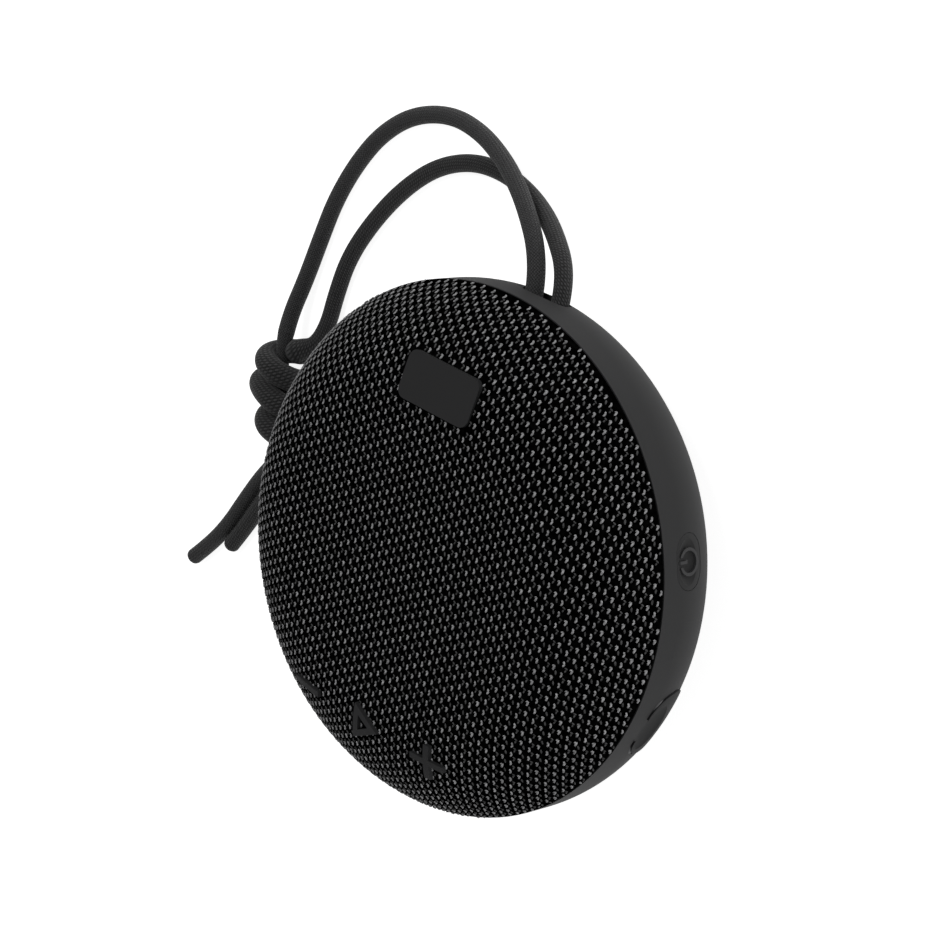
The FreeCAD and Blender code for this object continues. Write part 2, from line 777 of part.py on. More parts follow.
def usb_board():
    board = box("usb_board_box", 12, 16, 1.2, S.disc_radius - 12, 0, S.port_level - 2.85)
    return node(around("usb_board_at", board, S.port_angle), "usb_board")


# ---------------------------------------------------------------- cord slot and cord
def strap_cup():
    """Closed cup behind the cord slot."""
    wide = S.slot_wide + 2 * S.cup_wall
    tall = S.slot_tall + 2 * S.cup_wall
    face = S.disc_radius - S.wall - 0.1
    outer = rounded("cup_outer", "YZ_Plane", wide, tall, 2.4, S.slot_deep)
    inner = pill("cup_inner", "YZ_Plane", S.slot_wide, S.slot_tall, S.slot_deep + 5)
    hollow = cut("cup_hollow", outer, place(inner, x=S.cup_wall))
    lifted = doc.addObject("Part::Compound", "cup_lifted")
    lifted.Links = [hollow]
    place(lifted, x=face - S.slot_deep, z=S.slot_level)
    turned_cup = around("cup_at", lifted, 90)
    inside = common("cup_inside", turned_cup, rim_fill("cup_limit", S.wall + 0.05))
    bore = cylinder("cup_pin_bore", S.pin_radius, tall - 1.0, y=S.pin_place, z=S.slot_level - (tall - 1.0) / 2)
    return node(cut("cup_bored", inside, bore), "strap_cup")


def strap_pin():
    tall = S.slot_tall + 2 * S.cup_wall - 1.0
    return node(cylinder("strap_pin_rod", S.pin_radius, tall, y=S.pin_place, z=S.slot_level - tall / 2), "strap_pin")


# ---------------------------------------------------------------- driver
def driver_screw_places():
    for quarter in range(4):
        angle = math.radians(90 * quarter)
        yield quarter, S.screw_ring * math.cos(angle), S.screw_ring * math.sin(angle)


def driver_basket():
    """Frame of the driver with four windows."""
    low = S.magnet_level + S.magnet_tall + S.plate_tall
    w = S.basket_wall
    corners = [
        (S.coil_radius + S.coil_gap + 0.6, low),
        (S.magnet_radius + 1, low),
        (S.cutout_radius - 0.5, BAFFLE_TOP - 1),
        (S.cutout_radius - 0.5, BAFFLE_TOP),
        (S.flange_radius, BAFFLE_TOP),
        (S.flange_radius, BAFFLE_TOP + w),
        (S.cutout_radius - 0.5 - w, BAFFLE_TOP + w),
        (S.cutout_radius - 0.5 - w, BAFFLE_TOP - 1),
        (S.magnet_radius + 1 - w, low + w),
        (S.coil_radius + S.coil_gap + 0.6, low + w),
    ]
    frame = turned("basket_frame", corners)
    tools = []
    for quarter in range(4):
        window = box(f"basket_window_{quarter}", 12, 13, 5.5, 21, 0, low + 3.2)
        tools.append(around(f"basket_window_at_{quarter}", window, 45 + 90 * quarter))
    for number, x, y in driver_screw_places():
        tools.append(cylinder(f"basket_hole_{number}", 1.1, 3, x, y, BAFFLE_TOP - 0.5))
    return node(cut("basket_cut", frame, fuse("basket_tools", tools)), "driver_basket")


def driver_screws():
    screws = []
    seat = BAFFLE_TOP + S.basket_wall
    for number, x, y in driver_screw_places():
        head = cylinder(f"driver_head_{number}", 1.9, 1.1, x, y, seat)
        shank = cylinder(f"driver_shank_{number}", 1.0, 4.0, x, y, seat - 4.0)
        slot = box(f"driver_slot_{number}", 2.6, 0.5, 0.8, x, y, seat + 0.6)
        screws.append(cut(f"driver_screw_{number}", fuse(f"driver_screw_body_{number}", [head, shank]), slot))
    return node(gather("driver_screw_set", screws), "driver_screws")


def driver_magnet():
    low = S.magnet_level
    return node(ring("magnet_ring", S.magnet_radius, 8.6, low, low + S.magnet_tall), "driver_magnet")


def driver_yoke():
    """Back plate and centre pole in one piece."""
    plate = cylinder("yoke_plate", S.magnet_radius, 2.0, z=S.magnet_level - 2.0)
    pole_tall = S.magnet_tall + S.plate_tall
    pole = cylinder("yoke_pole", S.coil_radius - 0.5 - S.coil_gap, pole_tall + 0.5, z=S.magnet_level - 0.5)
    return node(fuse("yoke_fused", [plate, pole]), "driver_yoke")


def driver_top_plate():
    low = S.magnet_level + S.magnet_tall
    return node(ring("top_plate_ring", S.magnet_radius, S.coil_radius + S.coil_gap, low, low + S.plate_tall),
                "driver_top_plate")


def voice_coil():
    return node(ring("coil_ring", S.coil_radius, S.coil_radius - 0.5, S.magnet_level + 2.0, S.cone_foot + 0.6),
                "voice_coil")


def driver_cone():
    """Thin cone from the coil to the surround."""
    corners = [
        (S.coil_radius + 0.05, S.cone_foot),
        (S.coil_radius + 0.6, S.cone_foot),
        (S.cone_radius, S.cone_level),
        (S.cone_radius, S.cone_level + 0.6),
        (S.coil_radius + 0.05, S.cone_foot + 0.7),
    ]
    return node(turned("driver_cone_body", corners), "driver_cone")


def dust_cap():
    """Shallow cap over the coil, standing on the cone."""
    base = S.cone_foot + 1.45
    corners = [(0, base + 2.6), (0, base + 2.1), (3.0, base + 2.1), (S.coil_radius + 0.9, base),
               (S.coil_radius + 1.5, base), (3.3, base + 2.6)]
    return node(turned("dust_cap_body", corners), "dust_cap")


def driver_surround():
    """Half-roll rubber edge between the cone and the basket."""
    low = S.cone_level + 0.65
    mid = (S.surround_radius - S.cone_radius) / 2
    corners = [
        (S.cone_radius - 0.6, low),
        (S.cone_radius + 0.6, low),
        (S.surround_radius - 1.1, low),
        (S.surround_radius - 0.6, low),
        (S.surround_radius - 0.6, low + 0.45),
        (S.surround_radius - 0.65, low + 0.45),
        (S.cone_radius + 0.15, low + 0.45),
        (S.cone_radius - 0.6, low + 0.45),
    ]
    return node(turned("surround_body", corners, {1: (mid, -1), 5: (mid + 0.45, 1)}), "driver_surround")


def spider():
    """Flat suspension ring that centres the coil."""
    level = S.magnet_level + S.magnet_tall + S.plate_tall + 2.6
    return node(ring("spider_ring", S.magnet_radius + 1.0, S.coil_radius + 0.05, level, level + 0.4), "spider")


def driver_gasket():
    top = BAFFLE_TOP + S.basket_wall
    return node(ring("gasket_ring", 25.0, S.surround_radius - 0.4, top, top + 0.8), "driver_gasket")


# ---------------------------------------------------------------- electronics and battery
def battery():
    cell = box("cell_box", S.cell_long, S.cell_deep, S.cell_tall, 0, -S.cell_place, S.cell_level)
    return node(cell, "battery_cell")


def battery_tray():
    """Open tray on the back that holds the cell."""
    w = S.tray_wall
    gap = 0.2
    low = BACK + S.wall
    outer = box("tray_outer", S.cell_long + 2 * (w + gap) - 1, S.cell_deep + 2 * (w + gap) - 1.4, 6.0, 0,
                -S.cell_place, low)
    room = box("tray_room", S.cell_long + 2 * gap, S.cell_deep + 2 * gap, 12, 0, -S.cell_place, S.cell_level)
    tray = cut("tray_hollow", outer, room)
    return node(common("tray_in_shell", tray, rim_fill("tray_limit", S.wall)), "battery_tray")


def main_board():
    board = box("main_board_box", S.board_wide, S.board_deep, S.main_board_thick, 0, S.board_place, S.board_level)
    holes = [cylinder(f"main_board_hole_{side}", 1.3, 4, side * S.post_apart, S.board_place - S.post_back,
                      S.board_level - 1) for side in (-1, 1)]
    return node(cut("main_board_cut", board, fuse("main_board_holes", holes)), "main_board")


def board_posts():
    """Two standoffs under the main board."""
    low = BACK + S.wall
    posts = [cylinder(f"board_post_{side}", 2.6, S.board_level - low, side * S.post_apart,
                      S.board_place - S.post_back, low) for side in (-1, 1)]
    holes = [cylinder(f"board_post_hole_{side}", 1.0, 10, side * S.post_apart, S.board_place - S.post_back, low + 1)
             for side in (-1, 1)]
    return node(gather("board_post_set", [cut(f"board_post_cut_{n}", p, h)
                                          for n, (p, h) in enumerate(zip(posts, holes))]), "board_posts")


def board_screws():
    top = S.board_level + S.main_board_thick
    screws = []
    for side in (-1, 1):
        x, y = side * S.post_apart, S.board_place - S.post_back
        head = cylinder(f"board_head_{side}", 2.0, 1.2, x, y, top)
        shank = cylinder(f"board_shank_{side}", 1.0, 4.5, x, y, top - 4.5)
        slot = box(f"board_slot_{side}", 2.8, 0.5, 0.8, x, y, top + 0.6)
        screws.append(cut(f"board_screw_{side}", fuse(f"board_screw_body_{side}", [head, shank]), slot))
    return node(gather("board_screw_set", screws), "board_screws")


def board_parts():
    """Amplifier, radio module and storage capacitor on the main board."""
    top = S.board_level + S.main_board_thick
    amplifier = box("amplifier_chip", 7, 7, 1.2, -6, S.board_place - 2, top)
    radio = box("radio_module", 12, 9, 2.2, 6, S.board_place + 2, top)
    store = box("store_can", 5, 5, 3.0, -15, S.board_place + 3, top)
    return node(gather("board_part_set", [amplifier, radio, store]), "board_parts")


# ---------------------------------------------------------------- the cord
SLOT_Y = S.pin_place.value
STRAND = (S.pin_radius + S.cord_radius + S.cord_slack).value
CORD = S.cord_radius.value

# Both strands leave the slot, sag to the floor, cross, and go round side by side to the knot at the left.
FRONT = [(-STRAND, SLOT_Y, 17.5), (-3.9, 57.8, 17.3), (-7.8, 64.2, 15.4), (-14.2, 69.0, 12.8), (-22.0, 72.9, 9.2),
         (-30.4, 76.1, 6.0), (-40.4, 78.5, 3.4), (-51.0, 79.0, 2.1), (-61.8, 75.8, 2.05), (-70.4, 69.0, 2.05),
         (-76.4, 60.2, 2.05), (-80.8, 50.1, 2.05), (-84.0, 39.6, 2.05), (-85.9, 29.4, 2.1), (-85.9, 20.4, 3.2),
         (-84.0, 11.0, 5.0)]
REAR = [(STRAND, SLOT_Y, 17.5), (3.6, 57.8, 17.2), (0.5, 63.0, 15.3), (-6.4, 66.4, 11.5), (-13.6, 68.5, 7.6),
        (-21.8, 70.5, 4.5), (-31.4, 72.1, 2.7), (-41.9, 71.4, 2.05), (-52.0, 67.0, 2.05), (-60.6, 59.1, 2.05),
        (-67.7, 49.3, 2.05), (-73.0, 38.8, 2.05), (-76.2, 29.0, 2.05), (-77.0, 20.6, 2.6), (-78.2, 11.8, 4.4)]
TAIL_LONG = [(-81.2, -4.5, 4.6), (-82.2, -12.5, 2.4), (-85.9, -19.8, 2.05), (-90.2, -27.8, 2.05),
             (-94.4, -36.6, 2.05), (-99.4, -44.8, 2.05), (-105.2, -51.6, 2.05)]
TAIL_SHORT = [(-76.0, -4.5, 4.6), (-77.0, -13.3, 2.4), (-80.8, -21.2, 2.05), (-84.9, -28.8, 2.05),
              (-88.9, -36.4, 2.05), (-93.0, -43.4, 2.05)]
KNOT_AT = (-80.6, 3.6, 7.0)
KNOT_RADII = (7.2, 11.4, 6.9)


def tangent_path(points):
    """Straight runs joined by arcs as large as the runs allow; returns the wire and the radii."""
    points = [V(*p) for p in points]
    edges = []
    radii = []
    at = points[0]
    for before, corner, after in zip(points, points[1:], points[2:]):
        back = (before - corner)
        ahead = (after - corner)
        short = min(back.Length, ahead.Length)
        back.normalize()
        ahead.normalize()
        half_turn = (math.pi - back.getAngle(ahead)) / 2
        radius = 0.45 * short / math.tan(half_turn)
        radii.append(radius)
        start = corner + back * (0.45 * short)
        stop = corner + ahead * (0.45 * short)
        bisector = back + ahead
        bisector.normalize()
        middle = corner + bisector * (radius / math.cos(half_turn) - radius)
        edges.append(Part.LineSegment(at, start).toShape())
        edges.append(Part.Arc(start, middle, stop).toShape())
        at = stop
    edges.append(Part.LineSegment(at, points[-1]).toShape())
    return Part.Wire(edges), radii


def tube(label, points):
    """Round cord along a path."""
    path, radii = tangent_path(points)
    start = path.Edges[0]
    direction = start.tangentAt(start.FirstParameter)
    circle = Part.Wire([Part.Circle(V(*points[0]), direction, CORD).toShape()])
    shape = path.makePipeShell([circle], True, True)
    expected = math.pi * CORD ** 2 * path.Length
    print(f"{label}: length {path.Length:.1f}, volume {shape.Volume:.1f} of {expected:.1f}, "
          f"radii {', '.join(f'{radius:.1f}' for radius in radii)}")
    if abs(shape.Volume / expected - 1) > 0.01:
        raise ValueError(label + " volume is off")
    obj = doc.addObject("Part::Feature", label + "_tube")
    obj.Shape = shape
    return node(obj, label)


def cord():
    """Cord round the pin, two strands, the knot as one solid and two tails."""
    fold = doc.addObject("Part::Torus", "strap_fold_ring")
    bind(fold, "Radius1", S.pin_radius + S.cord_radius + S.cord_slack)
    bind(fold, "Radius2", S.cord_radius)
    fold.Angle3 = 180
    place(fold, y=S.pin_place, z=S.slot_level, turn=180)
    node(fold, "strap_fold")
    tube("strap_front", FRONT)
    tube("strap_rear", REAR)
    knot = doc.addObject("Part::Ellipsoid", "strap_knot_lump")
    knot.Radius1 = KNOT_RADII[2]
    knot.Radius2 = KNOT_RADII[0]
    knot.Radius3 = KNOT_RADII[1]
    knot.Angle1 = -90
    knot.Angle2 = 90
    knot.Angle3 = 360
    place(knot, *KNOT_AT)
    node(knot, "strap_knot")
    tube("tail_long", TAIL_LONG)
    tube("tail_short", TAIL_SHORT)


rear_shell()
foot_ring()
baffle()
housing_seal()
housing_screws()
grille()
fabric()
badge()
for kind, x in zip(SYMBOLS, key_places()):
    front_key(kind, x)
key_board()
key_carrier()
key_switches()
power_key()
power_switch()
port_cover()
usb_port()
usb_board()
strap_cup()
strap_pin()
driver_basket()
driver_screws()
driver_magnet()
driver_yoke()
driver_top_plate()
voice_coil()
driver_cone()
dust_cap()
driver_surround()
spider()
driver_gasket()
battery()
battery_tray()
main_board()
board_posts()
board_screws()
board_parts()
cord()
doc.recompute()

failed = [item.Name for item in doc.Objects if "Invalid" in item.State or "Error" in item.State]
if failed:
    raise ValueError(f"these objects failed: {failed}")
for item in nodes:
    if item.Shape.isNull() or not item.Shape.isValid():
        raise ValueError(item.Label + " has no valid shape")
os.makedirs("parts", exist_ok=True)
for item in nodes:
    item.Shape.exportStep(f"parts/{item.Label}.step")
    bounds = item.Shape.BoundBox
    print(f"{item.Label}: {len(item.Shape.Solids)} solids, volume {item.Shape.Volume:.1f}, "
          f"z {bounds.ZMin:.2f} to {bounds.ZMax:.2f}")
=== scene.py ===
# %% [markdown]
# # A round shower speaker with a knotted cord
# The speaker is a flat-backed disc with a domed fabric front. It lies on its back, and the cord it is carried
# by lies beside it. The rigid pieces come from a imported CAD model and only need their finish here. The soft
# things, which are the fabric, its raised yarns and the braided cord, are made in this file.

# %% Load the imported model
import json
import math
import random

import bmesh
import bpy
from mathutils import Matrix, Vector


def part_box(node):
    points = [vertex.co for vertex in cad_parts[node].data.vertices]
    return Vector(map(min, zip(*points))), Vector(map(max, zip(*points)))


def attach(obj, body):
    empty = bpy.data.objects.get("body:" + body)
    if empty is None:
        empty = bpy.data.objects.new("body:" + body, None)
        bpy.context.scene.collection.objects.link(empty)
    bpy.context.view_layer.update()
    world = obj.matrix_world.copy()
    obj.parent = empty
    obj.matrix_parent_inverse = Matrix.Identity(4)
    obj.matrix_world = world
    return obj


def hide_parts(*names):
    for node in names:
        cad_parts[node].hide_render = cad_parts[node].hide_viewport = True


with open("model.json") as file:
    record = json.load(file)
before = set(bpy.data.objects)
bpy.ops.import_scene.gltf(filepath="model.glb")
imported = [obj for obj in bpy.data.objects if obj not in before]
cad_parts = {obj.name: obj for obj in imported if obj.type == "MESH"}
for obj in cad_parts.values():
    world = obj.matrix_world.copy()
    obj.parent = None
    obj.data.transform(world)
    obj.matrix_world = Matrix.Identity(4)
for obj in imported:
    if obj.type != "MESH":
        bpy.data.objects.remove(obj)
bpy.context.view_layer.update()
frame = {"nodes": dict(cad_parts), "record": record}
MM = 0.001
nodes = frame["nodes"]
print("pieces in the model:", len(nodes))


# %% [markdown]
# ## Camera first
# The camera looks down on the dome from the side of the power key, a little towards the cord slot, and it is
# rolled, so that the disc stands tilted in the view. A long lens keeps the disc's outline nearly an ellipse.
# Setting it up before anything else lets every later piece be judged from the right place.

# %% Camera
CAMERA_AT = Vector((345.5, 204.3, 437.8)) * MM
LOOK_AT = Vector((-7.5, 14.4, 20.5)) * MM
CAMERA_UP = Vector((-0.3776, 0.9206, -0.0995))
LENS = 103.4
SENSOR = 36

camera_data = bpy.data.cameras.new("camera")
camera_data.lens = LENS
camera_data.sensor_width = SENSOR
camera_data.clip_start = 0.01
camera = bpy.data.objects.new("camera", camera_data)
bpy.context.collection.objects.link(camera)
back = (CAMERA_AT - LOOK_AT).normalized()
right = CAMERA_UP.cross(back).normalized()
up = back.cross(right)
camera.matrix_world = Matrix.Translation(CAMERA_AT) @ Matrix((right, up, back)).transposed().to_4x4()
bpy.context.scene.camera = camera
print("camera is", round((CAMERA_AT - LOOK_AT).length, 3), "m from the disc")


# %% [markdown]
# ## Floor and studio light
# The floor is a wide pale sheet under very even light. A black object on a bright floor gets most of its
# shape from soft reflections, so the lights are large. A weaker one on the power key's side lights the rim.

# %% Shader helper
class Socket:
    """One output of a node, with arithmetic that adds Math nodes."""

    def __init__(self, graph, source):
        self.graph = graph
        self.source = source

    def math(self, operation, *others):
        return self.graph.add("Math", {"operation": operation}, [self, *others])

    def __add__(self, other):
        return self.math("ADD", other)

    def __sub__(self, other):
        return self.math("SUBTRACT", other)

    def __rsub__(self, other):
        return self.graph.add("Math", {"operation": "SUBTRACT"}, [other, self])

    def __mul__(self, other):
        return self.math("MULTIPLY", other)

    __radd__ = __add__


class Graph:
    """A material under construction: add() makes any node from its settings and inputs."""

    def __init__(self, name, color, roughness, **fixed):
        self.material = bpy.data.materials.new(name)
        self.material.use_nodes = True
        self.tree = self.material.node_tree
        self.shader = self.tree.nodes["Principled BSDF"]
        self.material.diffuse_color = (*color, 1)
        self.set("Base Color", (*color, 1))
        self.set("Roughness", roughness)
        for key, value in fixed.items():
            self.set(key.replace("_", " "), value)

    def add(self, kind, settings=None, inputs=(), output=0):
        node = self.tree.nodes.new("ShaderNode" + kind)
        for key, value in (settings or {}).items():
            setattr(node, key, value)
        pairs = inputs.items() if isinstance(inputs, dict) else enumerate(inputs)
        for key, value in pairs:
            self.feed(node.inputs[key], value)
        return Socket(self, node.outputs[output])

    def feed(self, socket, value):
        if isinstance(value, Socket):
            self.tree.links.new(value.source, socket)
        else:
            socket.default_value = value

    def set(self, name, value):
        self.feed(self.shader.inputs[name], value)

    def noise(self, scale, detail=2.0, seed=0.0):
        point = self.add("TexCoord", output="Object")
        return self.add("TexNoise", {"noise_dimensions": "4D"},
                        {"Vector": point, "W": seed, "Scale": scale, "Detail": detail})

    def ramp(self, value, low, high, dark, light):
        """Colours between two, by a value that runs from low to high."""
        share = self.add("MapRange", {}, {"Value": value, "From Min": low, "From Max": high})
        return self.add("Mix", {"data_type": "RGBA"},
                        {"Factor": share, 6: (*dark, 1), 7: (*light, 1)}, output=2)

    def bump(self, height, distance, strength=1.0):
        normal = self.add("Bump", {}, {"Height": height, "Distance": distance, "Strength": strength})
        self.set("Normal", normal)


# %% Floor
FLOOR_RADIUS = 3.0
FLOOR_DROP = 0.05 * MM
FLOOR_SHADE = (0.55, 0.55, 0.55)
FLOOR_GLOW = 0.86
STUDIO_LIGHT = 0.35


def make_floor():
    shape = bmesh.new()
    bmesh.ops.create_circle(shape, cap_ends=True, segments=96, radius=FLOOR_RADIUS)
    bmesh.ops.translate(shape, verts=shape.verts, vec=(0, 0, -FLOOR_DROP))
    mesh = bpy.data.meshes.new("floor")
    shape.to_mesh(mesh)
    shape.free()
    floor = bpy.data.objects.new("floor", mesh)
    bpy.context.collection.objects.link(floor)
    paint = Graph("pale_floor", FLOOR_SHADE, 0.9, Specular_IOR_Level=0.1)
    paint.set("Emission Color", (1, 1, 1, 1))
    paint.set("Emission Strength", FLOOR_GLOW)
    mesh.materials.append(paint.material)


make_floor()
scene = bpy.context.scene
scene.view_settings.view_transform = "Standard"
world = bpy.data.worlds.new("studio")
world.use_nodes = True
world.node_tree.nodes["Background"].inputs["Color"].default_value = (1, 1, 1, 1)
world.node_tree.nodes["Background"].inputs["Strength"].default_value = STUDIO_LIGHT
scene.world = world


# %% Lights
def soft_light(name, place, size, power):
    lamp = bpy.data.lights.new(name, "AREA")
    lamp.shape = "DISK"
    lamp.size = size
    lamp.energy = power
    obj = bpy.data.objects.new(name, lamp)
    bpy.context.collection.objects.link(obj)
    at = Vector(place)
    obj.matrix_world = Matrix.Translation(at) @ (-at).to_track_quat("-Z", "Y").to_matrix().to_4x4()


soft_light("key_light", (-0.3, 0.9, 1.5), 1.0, 14)
soft_light("rim_light", (1.4, 0.5, 0.6), 0.9, 6)


# %% [markdown]
# ## Finishes
# Nearly everything is black, so the finishes differ in how they scatter light and in their fine grain: the
# soft-touch rim is very matte with a faint moulded grain, the keys are plain rubber, the badge is a smooth
# satin plate, and the metal inside is ordinary steel.

# %% Moulded plastic and rubber
def moulded(name, color, roughness, grain=0.5, depth=0.012, fleck=0.12):
    """Matte moulded surface: a fine grain in the bump, cloudy roughness and a slight change of shade."""
    paint = Graph(name, color, roughness, Specular_IOR_Level=0.22)
    cloud = paint.noise(90.0, 3.0)
    fine = paint.noise(1000.0 / grain, 2.0, seed=3.0)
    dark = tuple(c * (1 - fleck) for c in color)
    light = tuple(c * (1 + fleck) for c in color)
    paint.set("Base Color", paint.ramp(cloud, 0.3, 0.7, dark, light))
    paint.set("Roughness", roughness - 0.05 + cloud * 0.1)
    paint.bump(fine, depth * MM, 0.35)
    return paint.material


POWER_TURN = math.radians(20)
POWER_LEVEL = 20.3 * MM
# Radii over which the painted shade of the key's dish fades out to the plain rubber.
DISH_SHADE_EDGE = (3.0 * MM, 6.2 * MM)
RING = (2.2 * MM, 2.95 * MM)
RING_GAP = 1.0 * MM
BAR_HALF = 0.36 * MM
BAR_FOOT = -0.1 * MM
BAR_TOP = 2.8 * MM


def power_key_rubber():
    """Key rubber with painted shade, darkest in its dish, and its raised symbol worn a little lighter."""
    dark, plain, worn = (0.0055, 0.0055, 0.0058), (0.0150, 0.0150, 0.0155), (0.032, 0.032, 0.033)
    paint = Graph("power_rubber", plain, 0.7, Specular_IOR_Level=0.22)
    point = paint.add("TexCoord", output="Object")
    x, y, z = (paint.add("SeparateXYZ", {}, [point], output=index) for index in range(3))
    across = y * math.cos(POWER_TURN) - x * math.sin(POWER_TURN)
    above = z - POWER_LEVEL
    reach = (across * across + above * above).math("SQRT")
    # Painted shade: the dish is darkest in its middle and lightens outward, standing in for the shade in its
    # hollow.
    dish_shade = paint.ramp(reach, *DISH_SHADE_EDGE, dark, plain)
    ring = reach.math("GREATER_THAN", RING[0]) * reach.math("LESS_THAN", RING[1])
    gap = across.math("ABSOLUTE").math("LESS_THAN", RING_GAP) * above.math("GREATER_THAN", 0.0)
    bar = across.math("ABSOLUTE").math("LESS_THAN", BAR_HALF) * above.math("GREATER_THAN", BAR_FOOT)
    symbol = (ring * (1.0 - gap)).math("MAXIMUM", bar * reach.math("LESS_THAN", BAR_TOP))
    tone_with_painted_shade = paint.add("Mix", {"data_type": "RGBA"}, {"Factor": symbol, 6: dish_shade, 7: (*worn, 1)}, output=2)
    paint.set("Base Color", tone_with_painted_shade)
    paint.bump(paint.noise(2000.0, 2.0), 0.012 * MM, 0.35)
    return paint.material


def metal(name, color, roughness, scale=400.0):
    """Plain metal with a drawn grain."""
    paint = Graph(name, color, roughness, Metallic=1.0)
    grain = paint.noise(scale, 4.0)
    paint.set("Roughness", roughness - 0.08 + grain * 0.16)
    paint.bump(grain, 0.004 * MM, 0.4)
    return paint.material


finishes = {
    "shell": moulded("soft_touch_shell", (0.0150, 0.0150, 0.0155), 0.7),
    "foot_rubber": moulded("foot_rubber", (0.012, 0.012, 0.012), 0.8),
    "inner_plastic": moulded("inner_plastic", (0.03, 0.03, 0.033), 0.55),
    "steel": metal("plain_steel", (0.56, 0.56, 0.57), 0.35),
    "grille_metal": moulded("grille_paint", (0.006, 0.006, 0.006), 0.6),
    "badge": moulded("badge_plate", (0.0115, 0.0115, 0.012), 0.62, grain=0.3, depth=0.006, fleck=0.05),
    "key_rubber": moulded("key_rubber", (0.018, 0.018, 0.0187), 0.75),
    "power_rubber": power_key_rubber(),
    # The cover rubber is darker than the shell: painted shade of the scoop it sits in.
    "cover_rubber": moulded("cover_rubber", (0.0085, 0.0085, 0.009), 0.75),
    "board": moulded("solder_mask", (0.012, 0.09, 0.045), 0.35),
    "switch_plastic": moulded("switch_plastic", (0.08, 0.08, 0.08), 0.5),
    "painted": moulded("frame_paint", (0.03, 0.03, 0.03), 0.45),
    "magnet": moulded("ferrite", (0.07, 0.07, 0.075), 0.6),
    "copper": metal("enamelled_copper", (0.72, 0.36, 0.18), 0.3),
    "cone": moulded("pressed_fibre", (0.035, 0.035, 0.035), 0.75, grain=1.0, depth=0.05),
    "spider": moulded("resined_cloth", (0.4, 0.3, 0.12), 0.85, grain=1.0, depth=0.05),
    "cell": moulded("cell_wrap", (0.07, 0.14, 0.33), 0.35),
    "chip": moulded("chip_epoxy", (0.02, 0.02, 0.02), 0.5),
}
slot_of = {part["node"]: part["material_slot"] for part in frame["record"]["subparts"]}
for name, obj in nodes.items():
    if slot_of[name] in finishes:
        obj.data.materials.clear()
        obj.data.materials.append(finishes[slot_of[name]])
print("finishes:", len(finishes))


# %% [markdown]
# ## Fabric front
# The front is a knitted net stretched over a stiff dome. A stretched cloth has the shape of what is under it,
# so the sheet is spun from the dome's own outline: flat in the middle and a round shoulder down to the edge.
# The yarns further down are placed from where they would stand on the flat cloth, so that the knit can follow
# the cloth, not the floor.

# %% Dome outline
EDGE_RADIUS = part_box("grille_fabric")[1].x
EDGE_LEVEL = 29.0 * MM
SHOULDER_RUN = 24.8 * MM
SHOULDER_RISE = 10.7 * MM
SHOULDER = math.hypot(SHOULDER_RUN, SHOULDER_RISE)
SHOULDER_AT = EDGE_RADIUS - SHOULDER_RUN
SHOULDER_LOW = EDGE_LEVEL - SHOULDER_RISE
TURN = math.atan2(SHOULDER_RUN, SHOULDER_RISE)
CLOTH_REACH = SHOULDER_AT + SHOULDER * TURN


def on_dome(along, proud=0.0):
    """Radius and level on the dome at a distance along the cloth from its middle."""
    if along < SHOULDER_AT:
        return along, SHOULDER_LOW + SHOULDER + proud
    turn = (along - SHOULDER_AT) / SHOULDER
    reach = SHOULDER + proud
    return SHOULDER_AT + reach * math.sin(turn), SHOULDER_LOW + reach * math.cos(turn)


def dome_normal(along):
    turn = max(0.0, (along - SHOULDER_AT) / SHOULDER)
    return math.sin(turn), math.cos(turn)


print("cloth from middle to edge:", round(CLOTH_REACH / MM, 1), "mm")


# %% Finish a mesh into an object
def finish_piece(name, shape, material, body="housing"):
    """Write a bmesh to a new object that rides on a body."""
    mesh = bpy.data.meshes.new(name)
    shape.to_mesh(mesh)
    shape.free()
    mesh.materials.append(material)
    mesh.polygons.foreach_set("use_smooth", [True] * len(mesh.polygons))
    obj = bpy.data.objects.new(name, mesh)
    bpy.context.collection.objects.link(obj)
    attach(obj, body)
    return obj


# %% Cloth sheet
SPIN_STEPS = 240
SHEET_STEPS = 40
SHEET_DOWN = 0.12 * MM
HEM_IN = 0.35 * MM
HEM_DOWN = 0.25 * MM
CENTRE_HOLE = 3 * MM


def cloth_material():
    """Black knit ground: dim threads between the raised yarns, very matte."""
    paint = Graph("knit_ground", (0.001, 0.001, 0.001), 1.0, Specular_IOR_Level=0.0)
    fine = paint.noise(900.0, 2.0)
    paint.set("Base Color", paint.ramp(fine, 0.45, 0.75, (0.0004, 0.0004, 0.0004), (0.0022, 0.0022, 0.0022)))
    paint.bump(fine, 0.08 * MM, 0.6)
    return paint.material


def make_cloth():
    shape = bmesh.new()
    rows = []
    for step in range(1, SHEET_STEPS + 1):
        radius, level = on_dome(CLOTH_REACH * step / SHEET_STEPS, -SHEET_DOWN)
        rows.append(shape.verts.new((radius, 0, level)))
    edge = rows[-1].co
    rows.append(shape.verts.new((edge.x - HEM_IN, 0, edge.z - HEM_DOWN)))
    for first, second in zip(rows, rows[1:]):
        shape.edges.new((first, second))
    bmesh.ops.spin(shape, geom=list(shape.verts) + list(shape.edges), cent=(0, 0, 0), axis=(0, 0, 1),
                   angle=2 * math.pi, steps=SPIN_STEPS, use_merge=True)
    centre = [line for line in shape.edges if line.is_boundary and line.verts[0].co.xy.length < CENTRE_HOLE]
    bmesh.ops.contextual_create(shape, geom=centre)
    bmesh.ops.recalc_face_normals(shape, faces=shape.faces)
    return finish_piece("front_cloth", shape, cloth_material())


cloth = make_cloth()
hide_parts("grille_fabric")


# %% [markdown]
# ## Raised yarns
# The light flecks of the knit are short yarn bumps that stand in slanted rows. There are thousands, so each
# is one tiny lozenge of a few faces, copied to its place. Their grid is laid out on the flat cloth first and
# then bent over the dome, so that it keeps its spacing along the cloth.

# %% Yarn places
STITCH_NEXT = Vector((1.88, 1.24)) * MM
STITCH_DOWN = Vector((-0.05, -2.46)) * MM
STITCH_SPAN = 62
BADGE_INSET = 0.1 * MM


